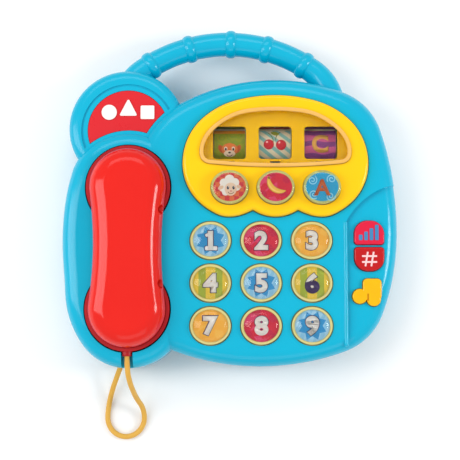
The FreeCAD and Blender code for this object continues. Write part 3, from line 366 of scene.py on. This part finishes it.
class Drawing:
    """Thin printed shapes about a picture's middle, all on one sheet, each a hair higher than the last."""

    def __init__(self):
        self.form = bmesh.new()
        self.maps = self.form.loops.layers.uv.new("print")
        self.inks = []
        self.level = 0

    def _raise(self, verts, ink):
        self.level += 1
        if ink not in self.inks:
            self.inks.append(ink)
        faces = list({face for vert in verts for face in vert.link_faces})
        up = bmesh.ops.extrude_face_region(self.form, geom=faces)["geom"]
        top = [part for part in up if isinstance(part, bmesh.types.BMVert)]
        bmesh.ops.translate(self.form, verts=top, vec=(0, 0, LAYER * self.level))
        shape = {face for vert in top + list(verts) if vert.is_valid for face in vert.link_faces}
        bmesh.ops.recalc_face_normals(self.form, faces=list(shape))
        for face in shape:
            face.material_index = self.inks.index(ink)

    def oval(self, x, y, width, length, ink, turn=0.0, count=40):
        place = placed(x, y, turn) @ Matrix.Diagonal((width / 2, length / 2, 1, 1))
        made = bmesh.ops.create_circle(self.form, cap_ends=True, segments=count, radius=1.0, matrix=place)
        self._raise(made["verts"], ink)

    def slab(self, x, y, width, length, corner, ink, turn=0.0):
        made = bmesh.ops.create_grid(self.form, x_segments=1, y_segments=1, size=0.5)["verts"]
        bmesh.ops.scale(self.form, verts=made, vec=(width, length, 1))
        done = bmesh.ops.bevel(self.form, geom=made, offset=corner, offset_type="OFFSET", segments=6,
                               profile=0.5, affect="VERTICES", material=-1)
        verts = [vert for vert in done["verts"] if vert.is_valid]
        bmesh.ops.transform(self.form, verts=verts, matrix=placed(x, y, turn))
        self._raise(verts, ink)

    def star(self, x, y, outer, inner, points, ink, turn=0.0):
        made = bmesh.ops.create_circle(self.form, cap_ends=True, segments=2 * points, radius=outer)["verts"]
        for i, vert in enumerate(made):
            if i % 2:
                vert.co *= inner / outer
        bmesh.ops.transform(self.form, verts=made, matrix=placed(x, y, turn))
        self._raise(made, ink)

    def band(self, line, half, ink, count=24):
        """A strip along line(t), t from 0 to 1, half(t) wide to each side."""
        made = bmesh.ops.create_grid(self.form, x_segments=count, y_segments=1, size=1.0)["verts"]
        step = 0.001
        for vert in made:
            t, side = (vert.co.x + 1) / 2, vert.co.y
            here = Vector(line(t))
            ahead, behind = Vector(line(min(t + step, 1))), Vector(line(max(t - step, 0)))
            along = (ahead - behind).normalized()
            vert.co = (here.x - along.y * side * half(t), here.y + along.x * side * half(t), 0)
        self._raise(made, ink)

    def sign(self, text, size, x, y, ink, swell=0.0, stretch=1.0):
        """A letter or digit in the plain built-in face, its strokes thickened by swell."""
        face = bpy.data.curves.new("sign", "FONT")
        face.body, face.size, face.offset, face.resolution_u = text, size, swell, 8
        face.align_x, face.align_y = "CENTER", "CENTER"
        holder = bpy.data.objects.new("sign", face)
        flat = bpy.data.meshes.new_from_object(holder)
        flat.transform(Matrix.Diagonal((stretch, 1, 1, 1)))
        xs, ys = [v.co.x for v in flat.vertices], [v.co.y for v in flat.vertices]
        centre = Vector(((min(xs) + max(xs)) / 2, (min(ys) + max(ys)) / 2, 0))
        flat.transform(Matrix.Translation(Vector((x, y, 0)) - centre))
        before = set(self.form.verts)
        self.form.from_mesh(flat)
        made = [v for v in self.form.verts if v not in before]
        bmesh.ops.remove_doubles(self.form, verts=made, dist=0.001)
        made = [v for v in self.form.verts if v not in before]
        self._raise(made, ink)
        bpy.data.objects.remove(holder)

    def finished(self, name, body, slot, place, drum=None):
        """The drawing as a piece: flat at place, or wrapped round a drum (radius, turn) centred there."""
        form = self.form
        for face in form.faces:
            for loop in face.loops:
                loop[self.maps].uv = (loop.vert.co.x * MM, loop.vert.co.y * MM)
        if drum:
            radius, turn = drum
            reach = max(abs(v.co.y) for v in form.verts)
            for i in range(-int(reach / SLICE), int(reach / SLICE) + 1):
                geometry = form.verts[:] + form.edges[:] + form.faces[:]
                bmesh.ops.bisect_plane(form, geom=geometry, plane_co=(0, i * SLICE, 0), plane_no=(0, 1, 0))
            for vert in form.verts:
                angle = vert.co.y / radius + turn
                out = radius + vert.co.z
                vert.co = (vert.co.x, out * math.sin(angle), out * math.cos(angle))
        bmesh.ops.translate(form, verts=form.verts[:], vec=place)
        bmesh.ops.scale(form, verts=form.verts[:], vec=(MM, MM, MM))
        return piece(name, form, [INK.get(ink) or plain_ink(ink) for ink in self.inks], body)


def piece(name, form, materials, body, smooth=False):
    """The form as a visible piece that rides on a body, with its materials."""
    mesh = bpy.data.meshes.new(name)
    form.to_mesh(mesh)
    form.free()
    for material in materials:
        mesh.materials.append(material)
    if smooth:
        for polygon in mesh.polygons:
            polygon.use_smooth = True
    made = bpy.data.objects.new(name, mesh)
    bpy.context.scene.collection.objects.link(made)
    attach(made, body)
    return made


def arc(x, y, radius, start, end):
    """Points along a circle's arc, angles in degrees."""
    def line(t):
        angle = math.radians(start + (end - start) * t)
        return x + radius * math.cos(angle), y + radius * math.sin(angle)
    return line


def coil(x, y, small, large, start, turns):
    """Points along a spiral from radius small to large."""
    def line(t):
        angle = math.radians(start) + 2 * math.pi * turns * t
        radius = small + (large - small) * t
        return x + radius * math.cos(angle), y + radius * math.sin(angle)
    return line


def even(width):
    """The same half width all along a band."""
    return lambda t: width


def tapered(width, tip=0.15):
    """A half width that shrinks to its tip share at both ends."""
    return lambda t: width * max(tip, math.sin(math.pi * min(max(t, 0.02), 0.98)) ** 0.6)


# number keys: printed disc, digit with its dark outline, clear dome
KEY_GROUNDS = {
    1: "sky_rows", 5: "sky_rows", 9: "sky_rows", 2: "pink_patches", 8: "pink_patches",
    3: "orange_patches", 7: "orange_patches", 4: "green_stripes", 6: "green_stripes",
}
DIGIT_HEIGHT, DIGIT_STRETCH = 15.0, 1.08
# a digit's dark outline and its pale face: how much each thickens the strokes, and its ink
DIGIT_LAYERS = ((1.2, "#3d2c5e"), (0.8, "#f1ede6"))
PRINT_INSET = 0.2
KEY_RING, BUTTON_RING = 1.1, 3.2
# a dome's upright rim as a share of its height, and how full its crown is
DOME_RIM, DOME_CROWN, DOME_STEPS = 0.22, 1.9, 14


def clear_dome(name, replaced, body, swell=2.3):
    """A low crowned oval of clear plastic in the CAD dome's own space."""
    low, high, middle = span(replaced)
    form = bmesh.new()
    reach, rise = (high.x - low.x) / 2, high.z - low.z
    points = [(reach, 0.0)]
    for i in range(DOME_STEPS + 1):
        angle = math.pi / 2 * i / DOME_STEPS
        height = DOME_RIM + (1 - DOME_RIM) * math.sin(angle) ** (2 / DOME_CROWN)
        points.append((reach * math.cos(angle) ** (2 / swell), rise * height))
    chain = [form.verts.new((x, 0, z)) for x, z in points]
    for a, b in zip(chain, chain[1:]):
        form.edges.new((a, b))
    bmesh.ops.spin(form, geom=form.verts[:] + form.edges[:], cent=(0, 0, 0), axis=(0, 0, 1),
                   angle=2 * math.pi, steps=64, use_merge=True)
    bmesh.ops.remove_doubles(form, verts=form.verts[:], dist=0.001)
    open_edges = [edge for edge in form.edges if edge.is_boundary]
    bmesh.ops.edgeloop_fill(form, edges=open_edges)
    bmesh.ops.recalc_face_normals(form, faces=form.faces[:])
    bmesh.ops.scale(form, verts=form.verts[:], vec=(1, (high.y - low.y) / (high.x - low.x), 1))
    bmesh.ops.translate(form, verts=form.verts[:], vec=(middle.x, middle.y, low.z))
    bmesh.ops.scale(form, verts=form.verts[:], vec=(MM, MM, MM))
    made = piece(name, form, [FINISH["clear_dome"]], body, smooth=True)
    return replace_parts(made, replaced)


for number in range(1, 10):
    low, high, middle = span("key_dome_%d" % number)
    width, length = high.x - low.x - PRINT_INSET, high.y - low.y - PRINT_INSET
    body = "number_key_body_%d" % number
    art = Drawing()
    art.oval(0, 0, width, length, "#e6c840", count=56)
    art.oval(0, 0, width - KEY_RING, length - KEY_RING, KEY_GROUNDS[number], count=56)
    if number in (1, 5, 9):
        art.star(0, 0, 9.3, 6.4, 8, "#2b95d0", turn=22.5)
    digit = str(number)
    for swell, ink in DIGIT_LAYERS:
        if digit == "1":
            art.slab(0.4, -5.0, 6.2 + 2 * swell, 0.9 + 2 * swell, 0.8, ink)
            art.slab(-1.4, 3.6, 2.4 + 2 * swell, 0.4 + 2 * swell, 0.8, ink, turn=22)
        art.sign(digit, DIGIT_HEIGHT, 0, 0, ink, swell=swell, stretch=DIGIT_STRETCH)
    art.finished("key_print_%d" % number, body, "white_print", (middle.x, middle.y, low.z))
    clear_dome("key_cover_%d" % number, "key_dome_%d" % number, body)

# picture buttons
for side, motif in (("left", "sheep"), ("middle", "banana"), ("right", "letter")):
    node_name = "picture_cap_" + side
    low, high, middle = span(node_name)
    body = "picture_key_" + side
    width, length = high.x - low.x - PRINT_INSET, high.y - low.y - PRINT_INSET
    art = Drawing()
    art.oval(0, 0, width, length, "#cdd07a", count=56)
    ground_ink = {"sheep": "red_checks", "banana": "pink_patches", "letter": "#27a5d4"}[motif]
    art.oval(0, 0, width - BUTTON_RING, length - BUTTON_RING, ground_ink, count=56)
    if motif == "sheep":
        for x, y, size in ((-3.6, 2.6, 5.4), (0.0, 4.6, 6.4), (3.4, 2.8, 5.6), (-4.4, -0.8, 4.8),
                           (4.6, -0.4, 4.4), (-0.4, 1.2, 8.4), (-2.6, -3.4, 4.6)):
            art.oval(x, y, size, size, "#f3efe6")
        art.oval(-5.6, -0.6, 3.8, 2.2, "#e9c9a8", turn=25)
        art.oval(6.0, 0.0, 3.2, 2.0, "#e9c9a8", turn=-25)
        art.oval(0.7, -1.6, 7.6, 8.4, "#f1d6b8")
        for x in (-1.0, 2.6):
            art.oval(x, -0.7, 1.5, 2.2, "#2f3a52")
            art.oval(x + 0.3, -0.2, 0.5, 0.7, "#f3efe6")
        art.band(arc(0.9, -2.6, 2.0, 205, 335), even(0.16), "#8a4a3a")
        art.oval(0.9, -2.9, 1.3, 0.8, "#d98a7a")
    elif motif == "banana":
        art.band(arc(3.4, 5.0, 8.0, 168, 292), tapered(1.9), "#b8862c")
        art.band(arc(3.4, 5.0, 8.0, 170, 290), tapered(1.6), "#f4c851")
        art.band(arc(3.4, 5.0, 8.5, 185, 275), tapered(0.35), "#fbdc7d")
        art.oval(-4.4, 5.6, 1.0, 1.6, "#7a5a24", turn=15)
    else:
        for x, y, start in ((6.0, 5.0, 0), (-6.2, 4.2, 200), (-5.4, -4.8, 90), (5.2, -6.0, 150)):
            art.band(coil(x, y, 0.5, 3.0, start, 1.6), even(0.32), "#9adcf0", count=48)
        art.sign("A", 14.0, 0, -0.4, "#c9602f", swell=0.45)
    art.finished("button_print_" + side, body, "white_print", (middle.x, middle.y, low.z))
    clear_dome("button_cover_" + side, node_name, body, swell=2.6)


# ---- pictures on the rollers: four on each, a quarter turn apart ----
PICTURE = 20.6
# length of the drive pins on the roller's right end, and how far the paper is let into the drum
PIN_LENGTH, PAPER_SINK = 2.2, 0.04


def ground(ink):
    art = Drawing()
    art.slab(0, 0, PICTURE, PICTURE, 0.6, ink)
    return art


def puppy():
    art = ground("green_curls")
    art.slab(0, 8.9, PICTURE, 2.6, 0.3, "#ef9a25")
    for x, turn in ((-5.6, 28), (5.6, -28)):
        art.oval(x, -3.2, 3.2, 5.6, "#c85a24", turn=turn)
    art.oval(0, -3.6, 10.6, 8.4, "#e27a3a")
    art.oval(0, -6.2, 7.6, 4.4, "#f3e2cf")
    for x in (-2.5, 2.5):
        art.oval(x, -3.0, 2.3, 2.6, "#f3e2cf")
        art.oval(x, -3.3, 1.3, 1.7, "#33261f")
    art.oval(0, -5.4, 1.8, 1.1, "#5a3426")
    art.band(arc(0, -5.9, 1.9, 200, 340), even(0.16), "#8a5a44")
    return art


def cherries():
    art = ground("teal_stripes")
    art.band(arc(-9.5, 1.5, 8.4, 0, 52), even(0.24), "#6f7f2c")
    art.band(arc(9.0, 2.0, 8.6, 176, 128), even(0.24), "#6f7f2c")
    art.band(lambda t: (-2.6 + 5.4 * t, 8.4 - 1.4 * t), tapered(1.5), "#9fa83a")
    for x, y in ((-4.0, -0.2), (4.1, -0.6)):
        art.oval(x, y, 6.8, 6.6, "#a31526")
        art.oval(x, y, 6.2, 6.0, "#d12a3c")
        art.oval(x - 1.2, y + 1.5, 1.5, 1.1, "#f7c6c4", turn=30)
    return art


def letter(sign, ink, swell=0.7):
    def drawn():
        art = ground("purple_waves")
        art.sign(sign, 15.5, 0, 0.4, ink, swell=swell)
        return art
    return drawn


def sun():
    art = ground("sky_rows")
    art.star(0, 0, 8.6, 5.6, 12, "#f6a723")
    art.oval(0, 0, 9.8, 9.8, "#fbd04a")
    return art


def ball():
    art = ground("green_curls")
    art.oval(0, 0, 14.0, 14.0, "#f3efe6")
    art.band(lambda t: (-6.4 + 12.8 * t, 1.4 * math.sin(math.pi * t) - 0.4), tapered(2.2, 0.6), "#d9343f")
    art.oval(0, 0.9, 3.4, 3.4, "#2b95d0")
    return art


def boat():
    art = ground("teal_stripes")
    art.band(arc(0, 3.0, 9.0, 228, 312), tapered(2.3, 0.5), "#d9343f")
    art.slab(0, 1.0, 0.7, 11.0, 0.2, "#8a5a34")
    art.star(2.2, 1.8, 4.4, 2.2, 3, "#f3efe6", turn=30)
    return art


def balloon():
    art = ground("red_checks")
    art.band(lambda t: (0.6 * math.sin(6 * t), -8.6 + 7.0 * t), even(0.2), "#f3efe6")
    art.oval(0, 2.4, 9.4, 11.0, "#2b95d0")
    art.oval(-1.8, 4.8, 1.8, 2.6, "#bfe3f3", turn=20)
    return art


def flower():
    art = ground("green_stripes")
    for i in range(6):
        angle = math.radians(60 * i)
        art.oval(4.3 * math.cos(angle), 4.3 * math.sin(angle), 5.0, 5.0, "#e0406e")
    art.oval(0, 0, 4.6, 4.6, "#fbd04a")
    return art


ROLLS = {
    "left": (puppy, ball, sun, flower),
    "middle": (cherries, balloon, flower, boat),
    "right": (letter("C", "#efbb62"), letter("B", "#efe07a"), letter("A", "#f3efe6"), letter("D", "#efbb62")),
}
for side, drawings in ROLLS.items():
    low, high, middle = span("picture_roller_" + side)
    radius = (high.z - low.z) / 2
    centre = (low.x + (high.x - low.x - PIN_LENGTH) / 2, middle.y, middle.z)
    for quarter, drawn in enumerate(drawings):
        drawn().finished("roller_picture_%s_%d" % (side, quarter + 1), "roller_" + side, "roller_white", centre,
                         drum=(radius - PAPER_SINK, math.pi / 2 * quarter))


# ---- display lens: clear plate and its raised, faintly amber bead ----
PLATE_TOP = 46.25
BEAD_ROUNDING = 0.7


def lens_part(name, keep_above, material):
    """Part of the CAD lens above or below the plate's top, closed where it was cut."""
    form = bmesh.new()
    form.from_mesh(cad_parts["display_lens"].data)
    bmesh.ops.remove_doubles(form, verts=form.verts[:], dist=0.002 * MM)
    bmesh.ops.bisect_plane(form, geom=form.verts[:] + form.edges[:] + form.faces[:],
                           plane_co=(0, 0, PLATE_TOP * MM), plane_no=(0, 0, 1), clear_inner=keep_above,
                           clear_outer=not keep_above)
    open_edges = [edge for edge in form.edges if edge.is_boundary]
    bmesh.ops.triangle_fill(form, use_beauty=True, edges=open_edges)
    bmesh.ops.recalc_face_normals(form, faces=form.faces[:])
    made = piece(name, form, [material], "housing")
    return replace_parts(made, "display_lens")


lens_part("lens_plate", False, FINISH["clear_lens"])
AMBER = surfaced("amber_tinted_styrene", "#e9b763", "#e2ac52", rough=(0.08, 0.12))
bead = lens_part("lens_bead", True, AMBER)
rounding = bead.modifiers.new("rounded", "BEVEL")
rounding.width, rounding.segments = BEAD_ROUNDING * MM, 3
rounding.limit_method, rounding.angle_limit = "ANGLE", math.radians(50)


# ---- signs on the side buttons ----
SIGNAL_INK, HASH_INK = "#3d7fb2", "#f1c9ca"
low, high, middle = span("signal_button")
sign_height = high.z
art = Drawing()
for i, height in enumerate((3.6, 5.6, 7.8, 10.0)):
    art.slab(-5.6 + 3.5 * i, -5.0 + height / 2, 2.4, height, 0.5, SIGNAL_INK)
art.finished("signal_sign", "signal_key", "white_print", (middle.x, middle.y, sign_height))
low, high, middle = span("hash_button")
art = Drawing()
for offset in (-1.9, 1.9):
    art.slab(offset, 0, 1.15, 9.6, 0.3, HASH_INK, turn=-10)
    art.slab(0, offset, 9.8, 1.15, 0.3, HASH_INK)
art.finished("hash_sign", "hash_key", "white_print", (middle.x, middle.y, sign_height))

# ---- floor ----
floor_mesh = bpy.data.meshes.new("floor")
form = bmesh.new()
bmesh.ops.create_grid(form, x_segments=1, y_segments=1, size=4.0)
form.to_mesh(floor_mesh)
form.free()
floor = bpy.data.objects.new("floor", floor_mesh)
bpy.context.scene.collection.objects.link(floor)
SWEEP = surfaced("studio_sweep_white", "#f7f7f7", "#f4f4f4", flow=400.0, rough=(0.8, 0.9))
floor_mesh.materials.append(SWEEP)
